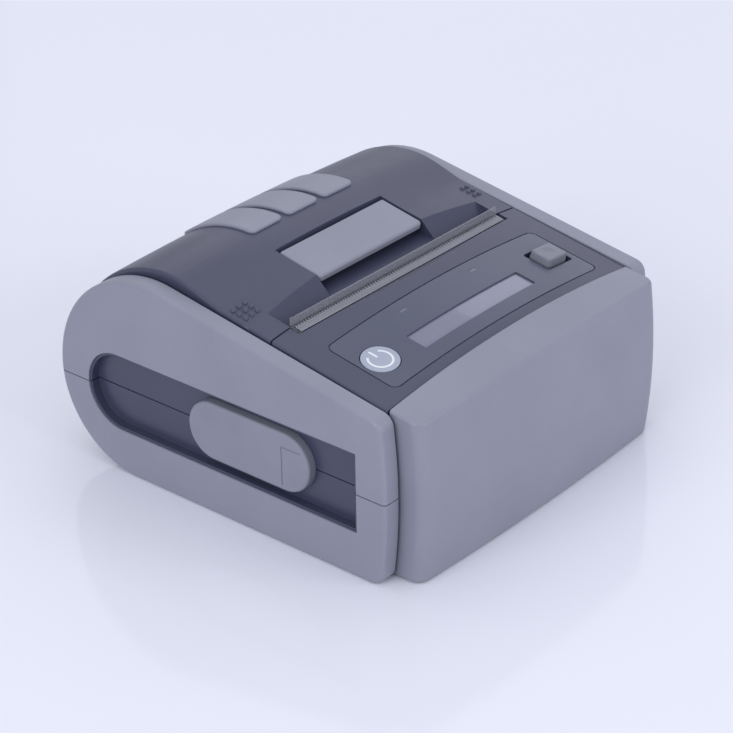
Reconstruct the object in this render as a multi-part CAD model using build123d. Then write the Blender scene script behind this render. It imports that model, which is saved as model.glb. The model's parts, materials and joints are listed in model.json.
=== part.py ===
from build123d import *
import os
from math import acos, atan, cos, degrees, hypot, pi, radians, sin, sqrt, tan

# Portable fiscal receipt printer with a hinged paper cover and a clip-on battery pack.
# Millimetres. X to the right seen from the front, +Y to the rear, +Z up.
# Origin at the middle of the footprint, on the surface the printer stands on.

# Side outline of the casing
side_x = 56.0
trim_inner_x = 50.6
parting_z = 24.2
rear_y = 60.7
rear_centre_z = 26.0
low_rear_radius = 26.0
high_rear_radius = 33.0
side_slope = 0.165
front_bow_y = -51.9
front_bow_z = 24.0
front_bow_radius = 160.0
front_corner_radius = 3.6
trim_rim = 2.0
trim_plate = 3.0
trim_edge_radius = 1.1
case_gap = 0.3

# D-shaped window in each trim
window_front_y = -42.7
window_centre_y = 39.0
window_centre_z = 24.35
window_radius = 11.35
collar_gap = 0.08
collar_wall = 0.7
collar_setback = 0.5

# Dark housings
housing_wall = 2.2
side_wall = 1.9
side_wall_clearance = 0.1
ledge_width = 5.4
ledge_thickness = 2.0
bulkhead_y = -37.3
bulkhead_thickness = 1.5

# Crowned deck and cover
deck_half_width = 49.9
crown_radius = 410.0
rear_crown_radius = 1040.0
deck_z_at_origin = 58.45
deck_slope = 0.18
deck_front_y = -47.9
deck_cover_parting_y = -10.3
cover_front_gap = 0.5
parting_gap = 0.3
deck_thickness = 2.2
deck_skirt = 5.0
lip_thickness = 1.6
cover_arc_centre_y = 25.2
cover_arc_centre_z = 27.4
cover_arc_radius = 35.0
cover_bend_y = 4.0
cover_arc_start = 5.0
cover_base_z = 10.0
cover_wall = 2.2
edge_round = 0.9

# Trough, tear bar and cover notch
trough_half_width = 42.8
trough_ridge_y = -16.0
trough_ease = 1.2
trough_ease_slope = 0.3
trough_floor_z = 51.6
trough_floor_y = -11.4
trough_lining = 1.7
deck_rear_y = -9.9
tear_half_length = 42.0
guide_thickness = 0.5
guide_foot = 0.45
guide_foot_y = -13.7
guide_leg_y = -10.9
guide_top_z = 56.5
blade_thickness = 0.4
blade_front_y = -13.3
blade_front_z = 53.4
blade_slope = 0.26
blade_length = 2.85
blade_end_gap = 0.4
tooth_pitch = 1.0
tooth_height = 0.9
notch_half_width = 42.4
notch_plane_z = 58.6
lip_front_y = -7.3
lip_bottom_z = 50.8

# Hinge of the cover
hinge_radius = 3.4
hinge_y = cover_arc_centre_y + cover_arc_radius - hinge_radius
hinge_z = 24.2
hinge_pin_radius = 1.25
running_clearance = 0.05
hinge_clearance = 0.4
lug_centre_x = 38.0
lug_width = 4.0

# Paper bay
bay_centre_y = 26.0
bay_centre_z = 29.5
bay_radius = 25.0
bay_wall = 1.2
bay_half_width = 40.6
bucket_rim_z = 33.0

# Platen, print head and gear train
platen_y = -2.5
platen_z = 44.5
platen_radius = 5.5
platen_half_length = 40.4
shaft_radius = 2.0
bush_radius = 3.5
bush_inner_x = 41.0
bush_width = 2.0
head_gap = 0.3
head_half_length = 40.5
head_bottom_z = 36.6
head_top_z = 49.2
head_plate = 1.0
heatsink_thickness = 3.0
head_pivot_z = 37.8
head_pivot_radius = 0.8
gear_module = 0.6
platen_teeth = 20
idler_teeth = 24
pinion_teeth = 12
gear_inner_x = 43.7
gear_width = 2.8
gear_backlash = 0.14
idler_pin_radius = 1.5
motor_radius = 10.0
motor_length = 17.0
motor_direction = 225.0
frame_sheet = 1.0
frame_cheek_x = 42.0

# Latch of the cover
latch_axis_y = 9.5
latch_axis_z = 50.4
latch_rod_radius = 1.2
hook_inner_x = 46.9
hook_thickness = 0.8
hook_nose_y = -10.2
hook_nose_z = 42.8
hook_height = 3.0
catch_pin_radius = 1.0
catch_gap = 0.4

# Open lever and its recess
lever_half_width = 21.0
lever_side_gap = 0.4
lever_rear_y = 11.9
lever_rear_z = 60.2
lever_front_y = -1.84
lever_front_z = 55.9
lever_thickness = 1.8
lever_front_corner = 1.3
lever_axis_y = 11.0
lever_axis_z = 57.9
lever_barrel_radius = 1.3
lever_pin_radius = 0.7
lever_lug_x = 15.0
lever_lug_width = 2.0
lever_lug_radius = 1.15
lever_lug_gap = 0.25
recess_rear_y = 13.3
recess_floor_front = 52.7
recess_floor_rear = 54.6
recess_wall = 1.5

# Grip pads and raised dots
pad_front_y = 21.9
pad_rear_y = 48.0
pad_height = 0.8
pad_middle_half = 6.15
pad_side_inner = 8.2
pad_side_outer = 20.5
pad_corner = 1.8
dot_radius = 0.72
dot_height = 0.5
dot_rows_y = (3.9, 1.8, -0.35)
left_dots_x = (-43.3, -45.5, -47.7)
right_dots_x = (45.4, 47.4)

# Label panel, display and keys
panel_half_width = 42.1
panel_front_y = -44.1
panel_rear_y = -22.1
panel_corner = 2.0
panel_thickness = 0.35
panel_groove = 0.35
display_x = (-24.45, 21.05)
display_y = (-39.6, -33.1)
display_glass = 0.9
light_x = (-16.4, 12.35)
light_y = -25.6
light_size = (2.6, 1.0)
power_x = -36.1
power_y = -34.4
power_radius = 5.0
key_gap = 0.25
power_travel = 0.4
feed_x = 34.9
feed_y = -33.2
feed_hole = (10.8, 8.95)
feed_top = (8.1, 6.4)
feed_base = (8.6, 6.9)
feed_height = 1.8
feed_dish_radius = 7.0
feed_dish_depth = 0.28
feed_travel = 1.2
flange_thickness = 0.7
flange_margin = 1.2
board_depth = 5.4
board_thickness = 1.2
switch_height = 0.8
switch_size = 5.2

# Clip-on battery pack
block_half_width = 49.7
block_front_y = -60.7
block_plan_radius = 886.0
block_bow_radius = 157.0
block_bow_z = 24.0
block_bottom_z = 0.3
block_rear_y = deck_front_y - 0.6
block_top_rear = (50.55, 47.15)
block_top_front = (46.9, 45.6)
block_top_front_y = -59.6
block_wall = 1.5
block_corner_radius = 3.2
block_edge_radius = 0.9
tray_half_width = 47.3
tray_rear_y = -37.9
tray_bottom_z = 1.5
tray_top_z = 41.6
tray_wall = 1.2
cell_radius = 9.1
cell_length = 65.0
cell_y = -48.3
cell_gap = 0.2

# Port cap and sockets in the left side
cap_front_y = -27.1
cap_rear_y = 14.1
cap_bottom_z = 16.05
cap_top_z = 32.65
cap_outer_x = 55.7
cap_tab_length = 9.2
cap_groove_width = 0.3
cap_groove_depth = 0.16
cap_plug_margin = 3.2
cap_plug_depth = 2.0
cap_plug_gap = 0.3
port_board_x = 44.2
port_board_thickness = 1.4

# Boards, screws and feet
main_board_z = 5.2
main_board_thickness = 1.6
post_x = 46.6
post_radius = 2.9
post_places = ((-31.0, 36.0), (40.0, 32.0))
rib_bottom_z = 4.6
screw_radius = 1.2
screw_head_radius = 2.3
foot_radius = 5.0
foot_height = 1.4
foot_places = (-27.0, 30.0)

crown_centre_z = 58.0 - crown_radius
floor_top_z = case_gap + housing_wall + 0.05
FAR = 200.0

cover_rear_centre_y = rear_y - high_rear_radius
wall_outer_x = side_x - trim_plate - side_wall_clearance
wall_inner_x = wall_outer_x - side_wall
wall_inset = trim_rim + case_gap
recess_half_width = lever_half_width + lever_side_gap
display_centre = (sum(display_x) / 2, sum(display_y) / 2)
display_size = (display_x[1] - display_x[0], display_y[1] - display_y[0])
feed_switch_top = deck_thickness + 0.3 + flange_thickness + feed_travel + 0.25
head_face_y = platen_y - platen_radius - head_gap
head_pivot_y = head_face_y - head_plate - heatsink_thickness / 2
catch_y = hook_nose_y - catch_gap - catch_pin_radius
board_top = main_board_z + main_board_thickness
socket_y = -14.5
jack_y = 1.5
socket_centre_z = (cap_bottom_z + cap_top_z) / 2
port_face_x = 0.3 - wall_inner_x


def box_between(x0, x1, y0, y1, z0, z1):
    return Pos((x0 + x1) / 2, (y0 + y1) / 2, (z0 + z1) / 2) * Box(x1 - x0, y1 - y0, z1 - z0)


def rod_x(x0, x1, y, z, radius):
    return Pos((x0 + x1) / 2, y, z) * Rot(0, 90, 0) * Cylinder(radius, x1 - x0)


def side_prism(points, x0, x1):
    outline = Polyline([(x0, y, z) for y, z in points], close=True)
    return extrude(make_face(outline), amount=x1 - x0, dir=(1, 0, 0))


def both_sides(part):
    return part + mirror(part, about=Plane.YZ)


def slope_line_z(y, inset):
    angle = atan(side_slope)
    tangent_y = cover_rear_centre_y - (high_rear_radius - inset) * sin(angle)
    tangent_z = rear_centre_z + (high_rear_radius - inset) * cos(angle)
    return tangent_z + side_slope * (y - tangent_y)


def outline_prism(inset, x0, x1):
    """The casing's side outline, moved inwards by inset, from x0 to x1."""
    low = low_rear_radius - inset
    high = high_rear_radius - inset
    low_y = rear_y - low_rear_radius
    angle = atan(side_slope)
    top = (cover_rear_centre_y - high * sin(angle), rear_centre_z + high * cos(angle))
    high_mid = (cover_rear_centre_y + high * cos(pi / 4), rear_centre_z + high * sin(pi / 4))
    low_mid = (low_y + low * cos(pi / 4), rear_centre_z - low * sin(pi / 4))
    bow = front_bow_radius - inset
    bow_centre_y = front_bow_y + front_bow_radius

    def bow_y(z):
        return bow_centre_y - sqrt(bow * bow - (z - front_bow_z) ** 2)

    front_y = bow_y(slope_line_z(front_bow_y, inset))
    front_top = (front_y, slope_line_z(front_y, inset))
    front_low = (bow_y(inset), inset)

    def at(point):
        return (x0, point[0], point[1])

    wire = Curve() + [
        Line(at(front_low), at((low_y, inset))),
        ThreePointArc(at((low_y, inset)), at(low_mid), at((rear_y - inset, rear_centre_z))),
        ThreePointArc(at((rear_y - inset, rear_centre_z)), at(high_mid), at(top)),
        Line(at(top), at(front_top)),
        ThreePointArc(at(front_top), at((bow_y(front_bow_z), front_bow_z)), at(front_low)),
    ]
    solid = extrude(make_face(wire), amount=x1 - x0, dir=(1, 0, 0))
    corners = solid.edges().filter_by(Axis.X).sort_by(Axis.Y)[:2]
    return fillet(corners, front_corner_radius)


def deck_z(x, y):
    return deck_z_at_origin + deck_slope * y - x * x / (2 * crown_radius)


def deck_place(x, y, depth=0.0):
    """A plane square to the crowned deck at x, y, sunk by depth."""
    tilt = x / crown_radius
    normal = Vector(tilt, -deck_slope, 1).normalized()
    point = Vector(x, y, deck_z(x, y)) - normal * depth
    return Plane(origin=point, x_dir=(1, 0, -tilt), z_dir=normal)


def crowned(face_at_zero):
    """Turns a face in the plane x = 0 into a body that is crowned across X."""
    spread = 9.0
    axis = Axis((0, 0, crown_centre_z), (0, 1, 0))
    start = face_at_zero.rotate(axis, -spread)
    return revolve(start, axis=axis, revolution_arc=2 * spread)


def crowned_slab(y0, y1, top, bottom):
    """A slab that follows the deck line between two depths, from y0 to y1."""
    points = [(y0, -top), (y1, -top), (y1, -bottom), (y0, -bottom)]
    corners = [(0, y, deck_z_at_origin + deck_slope * y + dz) for y, dz in points]
    return crowned(make_face(Polyline(corners, close=True)))


def cover_profile(x, depth):
    """The cover's side profile at x, moved inwards by depth: deck line, blend, rear arc."""
    radius = cover_arc_radius - depth
    centre_y = cover_arc_centre_y
    centre_z = cover_arc_centre_z - x * x / (2 * rear_crown_radius)
    crown_drop = crown_radius - sqrt(crown_radius * crown_radius - x * x)

    def line_z(y):
        return deck_z_at_origin + deck_slope * y - crown_drop - depth * sqrt(1 + deck_slope * deck_slope)

    def on_arc(angle):
        return (x, centre_y - radius * sin(radians(angle)), centre_z + radius * cos(radians(angle)))

    front = (x, -30.0, line_z(-30.0))
    bend = (x, cover_bend_y, line_z(cover_bend_y))
    arc_start = on_arc(cover_arc_start)
    pull = (arc_start[1] - bend[1]) / 3
    arc_slope = tan(radians(cover_arc_start))
    blend = Bezier(
        bend,
        (x, bend[1] + pull, bend[2] + pull * deck_slope),
        (x, arc_start[1] - pull, arc_start[2] - pull * arc_slope),
        arc_start,
    )
    wire = Curve() + [
        Line((x, -30.0, cover_base_z), front),
        Line(front, bend),
        blend,
        ThreePointArc(arc_start, on_arc(-45), on_arc(-90)),
        Line(on_arc(-90), (x, centre_y + radius, cover_base_z)),
        Line((x, centre_y + radius, cover_base_z), (x, -30.0, cover_base_z)),
    ]
    return make_face(wire)


def cover_skin(depth, half_width):
    """The cover's outer form, moved inwards by depth, less crowned at the rear than in front."""
    places = [-half_width, -half_width / 2, 0, half_width / 2, half_width]
    return loft([cover_profile(x, depth) for x in places])


def rounded_top_edges(part, half_width, radius):
    edges = part.edges().filter_by(lambda e: abs(abs(e.center().X) - half_width) < 0.01)
    top = edges.filter_by(lambda e: e.length > 12 and e.center().Z > 45)
    return fillet(top, radius)


def gear(teeth, width, bore, turn):
    """An involute spur gear lying along X, with one tooth at the angle turn, in degrees."""
    pitch = gear_module * teeth / 2
    base = pitch * cos(radians(20))
    root = pitch - 1.25 * gear_module
    tip = pitch + 0.95 * gear_module
    half_at_pitch = pi / (2 * teeth) - gear_backlash / (2 * pitch)

    def involute(angle):
        return tan(angle) - angle

    def half_angle(radius):
        return half_at_pitch + involute(radians(20)) - involute(acos(min(1.0, base / radius)))

    radii = [root, max(root, base) + 0.02, pitch, tip]
    points = []
    for tooth in range(teeth):
        middle = radians(turn) + 2 * pi * tooth / teeth
        flank = [(r, half_angle(max(r, base))) for r in radii]
        for r, half in flank:
            points.append((0, r * cos(middle - half), r * sin(middle - half)))
        for r, half in reversed(flank):
            points.append((0, r * cos(middle + half), r * sin(middle + half)))
    face = make_face(Polyline(points, close=True))
    blank = extrude(face, amount=width, dir=(1, 0, 0))
    return blank - rod_x(-1, width + 1, 0, 0, bore)


below_parting = box_between(-FAR, FAR, -FAR, FAR, -FAR, parting_z - parting_gap / 2)
above_parting = box_between(-FAR, FAR, -FAR, FAR, parting_z + parting_gap / 2, FAR)


def window_prism(x0, x1, margin=0.0):
    radius = window_radius - margin
    low = window_centre_z - radius
    high = window_centre_z + radius
    front = window_front_y + margin
    wire = Curve() + [
        Line((x0, window_centre_y, low), (x0, front, low)),
        Line((x0, front, low), (x0, front, high)),
        Line((x0, front, high), (x0, window_centre_y, high)),
        ThreePointArc(
            (x0, window_centre_y, high),
            (x0, window_centre_y + radius, window_centre_z),
            (x0, window_centre_y, low),
        ),
    ]
    return extrude(make_face(wire), amount=x1 - x0, dir=(1, 0, 0))


def side_trim():
    """One whole side trim on the right: a shallow tray with the window in its plate."""
    shell = outline_prism(0.0, trim_inner_x, side_x)
    outer_edges = shell.edges().filter_by(lambda e: abs(e.center().X - side_x) < 0.01)
    shell = fillet(outer_edges, trim_edge_radius)
    inner_edges = shell.edges().filter_by(lambda e: abs(e.center().X - trim_inner_x) < 0.01)
    shell = fillet(inner_edges, trim_edge_radius / 3)
    shell -= outline_prism(trim_rim, trim_inner_x - 1, side_x - trim_plate)
    return shell - window_prism(side_x - trim_plate - 1, side_x + 1)


def window_collar():
    """Dark rim of the housing that lines the window of the right trim."""
    outer = window_prism(wall_outer_x - 0.5, side_x - collar_setback, collar_gap)
    return outer - window_prism(wall_outer_x, side_x + 1, collar_gap + collar_wall)


def stadium(x0, x1, margin):
    """The port cap's outline, moved inwards by margin, from x0 to x1."""
    radius = (cap_top_z - cap_bottom_z) / 2 - margin
    centre_z = (cap_top_z + cap_bottom_z) / 2
    reach = (cap_top_z - cap_bottom_z) / 2
    front = cap_front_y + reach
    rear = cap_rear_y - reach
    bar = box_between(x0, x1, front, rear, centre_z - radius, centre_z + radius)
    return bar + rod_x(x0, x1, front, centre_z, radius) + rod_x(x0, x1, rear, centre_z, radius)


def make_port_cap():
    plate = stadium(-cap_outer_x, -wall_outer_x - 0.05, 0.0)
    rim = plate.edges().filter_by(lambda e: abs(e.center().X + cap_outer_x) < 0.01)
    plate = fillet(rim, 0.7)
    plug = stadium(-wall_outer_x - 0.05, -wall_outer_x + cap_plug_depth, cap_plug_margin)
    tab_y = cap_front_y + cap_tab_length
    low = cap_bottom_z + 1.5
    high = cap_top_z - 3.9
    bed = -cap_outer_x + cap_groove_depth
    groove = box_between(-cap_outer_x - 1, bed, tab_y - cap_groove_width, tab_y, low, high)
    lip = box_between(-cap_outer_x - 1, bed, tab_y - 6.4, tab_y, high - cap_groove_width, high)
    return plate + plug - groove - lip


def screw_posts(z0, z1, bore):
    """Four posts along the side walls, each tied to its wall by a rib."""
    posts = Part()
    for y, _ in post_places:
        post = Pos(post_x, y, (z0 + z1) / 2) * Cylinder(post_radius, z1 - z0)
        rib = box_between(post_x, wall_inner_x + 0.5, y - 1.2, y + 1.2, max(z0, rib_bottom_z), z1)
        posts += post + rib
    for y, _ in post_places:
        posts -= Pos(post_x, y, (z0 + z1) / 2) * Cylinder(bore, z1 - z0 + 2)
    return both_sides(posts)


def hinge_lugs():
    lugs = Part()
    for side in (-1, 1):
        x0 = side * lug_centre_x - lug_width / 2
        x1 = side * lug_centre_x + lug_width / 2
        lugs += rod_x(x0, x1, hinge_y, hinge_z, hinge_radius - 0.1)
        lugs += box_between(x0, x1, hinge_y - hinge_radius, hinge_y, 14.0, hinge_z)
    return lugs - rod_x(-FAR, FAR, hinge_y, hinge_z, hinge_pin_radius)


def make_lower_housing():
    """Tray under the paper bay with the rear wall, the side walls and the bulkhead."""
    inner = deck_half_width
    middle = outline_prism(case_gap, -inner, inner)
    middle -= outline_prism(case_gap + housing_wall, -inner - 1, inner + 1)
    ledge = outline_prism(wall_inset, -wall_outer_x, wall_outer_x)
    ledge -= outline_prism(wall_inset + ledge_thickness, -wall_outer_x - 1, wall_outer_x + 1)
    ledge -= box_between(-wall_outer_x + ledge_width, wall_outer_x - ledge_width, -FAR, FAR, -FAR, FAR)
    walls = both_sides(outline_prism(wall_inset, wall_inner_x, wall_outer_x))
    tray = (middle + ledge) & box_between(-FAR, FAR, bulkhead_y, FAR, -FAR, FAR)
    front_ledge = ledge & box_between(-FAR, FAR, -FAR, bulkhead_y + 1, -FAR, FAR)
    front_ledge -= box_between(-wall_inner_x, wall_inner_x, -FAR, FAR, -FAR, FAR)
    tray += front_ledge + walls + both_sides(window_collar())
    bulkhead = box_between(
        -wall_inner_x - 0.5, wall_inner_x + 0.5, bulkhead_y, bulkhead_y + bulkhead_thickness, 0.6, 40.0
    )
    tray = (tray & below_parting) + (bulkhead & box_between(-FAR, FAR, -FAR, FAR, 3.0, parting_z - 0.2))
    tray += bulkhead & box_between(-inner, inner, -FAR, FAR, -FAR, FAR)
    rear_cut = hinge_radius + hinge_clearance
    tray -= rod_x(-inner - 0.3, inner + 0.3, hinge_y, hinge_z, rear_cut)
    tray -= box_between(-inner - 0.3, inner + 0.3, hinge_y, FAR, hinge_z - rear_cut, FAR)
    tray += hinge_lugs()
    tray += screw_posts(1.2, parting_z - parting_gap / 2, screw_radius)
    for side in (-1, 1):
        for y, _ in post_places:
            tray -= Pos(side * post_x, y, 0) * Cylinder(screw_head_radius + 0.3, 6.4)
            tray -= Pos(side * post_x, y, 10) * Cylinder(screw_radius, 30)
        for y in foot_places:
            tray -= Pos(side * 36.0, y, 0) * Cylinder(foot_radius + 0.1, 2 * foot_height + 0.1)
    tray -= stadium(-FAR, -wall_inner_x + 0.5, cap_plug_margin - cap_plug_gap)
    battery_opening = box_between(-30, 30, bulkhead_y - 1, bulkhead_y + 3, 22.0, 30.0)
    return tray - battery_opening


def blade_line_z(y):
    """Height of the tear blade's underside at y."""
    return blade_front_z + blade_slope * (y - blade_front_y)


def foot_line_z(y):
    return blade_line_z(y) - guide_foot


def make_deck():
    """Crowned plate with its skirts and front lip, and the trough behind the panel."""
    rear = deck_cover_parting_y - cover_front_gap
    plate = crowned_slab(deck_front_y, rear, 0.0, deck_thickness)
    lip = crowned_slab(deck_front_y, deck_front_y + lip_thickness, 0.5, 8.0)
    plate += lip - box_between(-FAR, FAR, -FAR, FAR, 0, tray_top_z + 0.5)
    skirts = crowned_slab(deck_front_y, rear, 0.5, deck_skirt)
    skirts -= box_between(-deck_half_width + 2.2, deck_half_width - 2.2, -FAR, FAR, -FAR, FAR)
    body = plate + skirts
    body &= box_between(-deck_half_width, deck_half_width, -FAR, FAR, -FAR, FAR)
    body = rounded_top_edges(body, deck_half_width, edge_round)
    ridge_z = deck_z(0, trough_ridge_y)
    fall = (ridge_z - trough_floor_z) / (trough_floor_y - trough_ridge_y)
    shoulder_y = guide_foot_y - running_clearance
    shoulder_z = ridge_z - fall * (shoulder_y - trough_ridge_y)
    ease_y = trough_ridge_y - trough_ease
    ease_z = deck_z(0, ease_y)
    rise = ridge_z - ease_z + trough_ease_slope * trough_ease
    knee_y = trough_ridge_y + rise / (fall - trough_ease_slope)
    trough = [
        (ease_y, ease_z),
        (knee_y, ridge_z - fall * (knee_y - trough_ridge_y)),
        (shoulder_y, shoulder_z),
        (shoulder_y, foot_line_z(shoulder_y)),
        (guide_leg_y, foot_line_z(guide_leg_y)),
        (guide_leg_y, trough_floor_z),
        (0, trough_floor_z),
        (0, 80),
        (ease_y, 80),
    ]
    lining = [
        (trough_ridge_y - 2.5, ridge_z - 1.4),
        (trough_ridge_y, ridge_z),
        (guide_leg_y, foot_line_z(guide_leg_y) + 0.5),
        (deck_rear_y, foot_line_z(guide_leg_y) + 0.5),
        (deck_rear_y, trough_floor_z - trough_lining),
        (trough_floor_y - 1.0, trough_floor_z - trough_lining),
        (trough_ridge_y - 2.5, ridge_z - 4.0),
    ]
    body += side_prism(lining, -trough_half_width - 1, trough_half_width + 1) & (
        crowned_slab(-30, 0, 0.0, 12.0)
    )
    body -= side_prism(trough, -trough_half_width, trough_half_width)
    ends = box_between(trough_half_width - 0.5, deck_half_width, rear, 0, 40, 60)
    return body - both_sides(ends)


def panel_area(margin, top, bottom):
    """Rounded rectangle of the label panel, as a crowned slab between two depths."""
    length = panel_rear_y - panel_front_y + 2 * margin
    width = 2 * (panel_half_width + margin)
    middle = (panel_rear_y + panel_front_y) / 2
    prism = extrude(RectangleRounded(width, length, panel_corner + margin), amount=60)
    return crowned_slab(panel_front_y - 3, panel_rear_y + 3, top, bottom) & (
        Pos(0, middle, 20) * prism
    )


def deck_block(x, y, size, top, bottom, corner=0.0):
    """A block square to the deck at x, y, between two depths below the surface."""
    face = RectangleRounded(size[0], size[1], corner) if corner else Rectangle(size[0], size[1])
    return extrude(deck_place(x, y, bottom) * face, amount=bottom - top)


def deck_disc(x, y, radius, top, bottom):
    return extrude(deck_place(x, y, bottom) * Circle(radius), amount=bottom - top)


def make_upper_housing():
    body = make_deck()
    ledge = outline_prism(wall_inset, -wall_outer_x, wall_outer_x)
    ledge -= outline_prism(wall_inset + ledge_thickness, -wall_outer_x - 1, wall_outer_x + 1)
    ledge -= box_between(-wall_outer_x + ledge_width, wall_outer_x - ledge_width, -FAR, FAR, -FAR, FAR)
    ledge &= box_between(-FAR, FAR, deck_front_y + 0.2, deck_cover_parting_y - cover_front_gap, 38, FAR)
    walls = both_sides(outline_prism(wall_inset, wall_inner_x, wall_outer_x) + window_collar())
    walls &= above_parting
    body += ledge + walls
    posts = screw_posts(parting_z + parting_gap / 2, 37.0, screw_radius - 0.05)
    for y, top in post_places:
        posts -= box_between(-FAR, FAR, y - 5, y + 5, top, FAR)
    body += posts
    body -= panel_area(panel_groove, -5, panel_thickness)
    body -= deck_block(*display_centre, (display_size[0] + 3, display_size[1] + 3), -1, 4)
    for x in light_x:
        body -= deck_block(x, light_y, (light_size[0] + 0.6, light_size[1] + 0.6), -1, 4)
    body -= deck_disc(power_x, power_y, power_radius + key_gap, -1, 4)
    body -= deck_block(feed_x, feed_y, feed_hole, -1, 4, 0.8)
    return body - stadium(-FAR, -wall_inner_x + 0.5, cap_plug_margin - cap_plug_gap)


def make_panel_overlay():
    sheet = panel_area(0.0, 0.0, panel_thickness)
    sheet -= deck_block(*display_centre, display_size, -1, 2, 0.4)
    for x in light_x:
        sheet -= deck_block(x, light_y, light_size, -1, 2)
    sheet -= deck_disc(power_x, power_y, power_radius + key_gap, -1, 2)
    return sheet - deck_block(feed_x, feed_y, feed_hole, -1, 2, 0.8)


def make_display_window():
    top = panel_thickness + 0.15
    slab = crowned_slab(panel_front_y, panel_rear_y, top, top + display_glass)
    return slab & deck_block(*display_centre, (display_size[0] + 2.4, display_size[1] + 2.4), -3, 6)


def make_display_module():
    size = (display_size[0] + 6.0, display_size[1] + 4.4)
    return deck_block(*display_centre, size, deck_thickness + 1.3, board_depth)


def make_keypad_board():
    """One long board under the deck, tilted with it and flat across."""
    plane = Plane(
        origin=(0, -32.5, deck_z(power_x, -32.5) - board_depth - 0.4),
        x_dir=(1, 0, 0),
        z_dir=(0, -deck_slope, 1),
    )
    return extrude(plane * Rectangle(86.0, 17.0), amount=-board_thickness)


def raised_dots():
    dots = Part()
    for x in left_dots_x + right_dots_x:
        for y in dot_rows_y:
            dot = deck_disc(x, y, dot_radius, -dot_height, cover_wall / 2)
            rim = dot.edges().filter_by(GeomType.CIRCLE).sort_by(Axis.Z)[-1]
            dots += fillet(rim, dot_height * 0.8)
    return dots


def recess_region(wall):
    """The lever's recess, grown by wall on its floor, rear and sides."""
    front = -7.5
    floor_slope = (recess_floor_rear - recess_floor_front) / (recess_rear_y - front)
    points = [
        (front, recess_floor_front - wall),
        (recess_rear_y + wall, recess_floor_rear - wall + floor_slope * wall),
        (recess_rear_y + wall, 75.0),
        (front, 75.0),
    ]
    return side_prism(points, -recess_half_width - wall, recess_half_width + wall)


def make_cover_shell():
    """Hollow crowned lid with its front notch, lever recess and rear hinge barrel."""
    skin = cover_skin(0.0, deck_half_width)
    side_edges = skin.edges().filter_by(lambda e: abs(abs(e.center().X) - deck_half_width) < 0.01)
    long_edges = side_edges.filter_by(lambda e: e.center().Z > cover_base_z + 2 and e.center().Y > -28)
    skin = fillet(long_edges, edge_round)
    front = deck_cover_parting_y
    kept = [
        (front, 51.8),
        (front, 80.0),
        (80.0, 80.0),
        (80.0, hinge_z),
        (hinge_y - hinge_radius + 0.5, hinge_z + 1.5),
        (44.0, 37.0),
        (20.0, 46.5),
        (4.0, 51.8),
    ]
    skin &= side_prism(kept, -deck_half_width - 1, deck_half_width + 1)
    shell = skin - cover_skin(cover_wall, deck_half_width - cover_wall)
    closing = box_between(-deck_half_width, deck_half_width, front, front + 1.6, 51.8, 80)
    closing += both_sides(box_between(notch_half_width, notch_half_width + 1.4, front, 1.0, 51.8, 80))
    drop = notch_plane_z
    lip_points = [
        (lip_front_y, drop + lip_front_y),
        (lip_front_y, lip_bottom_z),
        (-4.9, lip_bottom_z),
        (4.6, 60.3),
        (1.7, drop + 1.7),
    ]
    closing += side_prism(lip_points, -notch_half_width - 1.4, notch_half_width + 1.4)
    shell += (closing + recess_region(recess_wall)) & skin
    notch = [(-30, drop - 30), (lip_front_y, drop + lip_front_y), (40, drop + 40), (-30, drop + 40)]
    shell -= side_prism(notch, -notch_half_width, notch_half_width)
    shell -= recess_region(0.0)
    for side in (-1, 1):
        x0 = side * lever_lug_x - lever_lug_width / 2
        x1 = x0 + lever_lug_width
        rear = lever_axis_y + lever_lug_radius
        shell += box_between(x0, x1, lever_axis_y - lever_lug_radius, rear, 53.8, lever_axis_z)
        shell += rod_x(x0, x1, lever_axis_y, lever_axis_z, lever_lug_radius)
    shell -= rod_x(-recess_half_width, recess_half_width, lever_axis_y, lever_axis_z, lever_pin_radius)
    shell += rod_x(-deck_half_width, deck_half_width, hinge_y, hinge_z, hinge_radius)
    for side in (-1, 1):
        x0 = side * lug_centre_x - lug_width / 2 - parting_gap
        x1 = side * lug_centre_x + lug_width / 2 + parting_gap
        shell -= rod_x(x0, x1, hinge_y, hinge_z, hinge_radius + 0.9)
    shell -= rod_x(-FAR, FAR, hinge_y, hinge_z, hinge_pin_radius + running_clearance)
    shell = shell.solids().sort_by(SortBy.VOLUME)[-1]
    return shell + raised_dots()


def make_grip_pad(x0, x1):
    """A raised pad that follows the cover from pad_front_y over the top to pad_rear_y."""
    outer = cover_skin(-pad_height, deck_half_width) - cover_skin(-0.02, deck_half_width + 1)
    middle = (pad_front_y + pad_rear_y) / 2
    face = RectangleRounded(x1 - x0, pad_rear_y - pad_front_y, pad_corner)
    pad = outer & (Pos((x0 + x1) / 2, middle, 40) * extrude(face, amount=40))
    top = pad.faces().sort_by(lambda f: f.area)[-2:].sort_by(lambda f: f.center().Z)[-1]
    return fillet(top.edges(), pad_height * 0.6)


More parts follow.
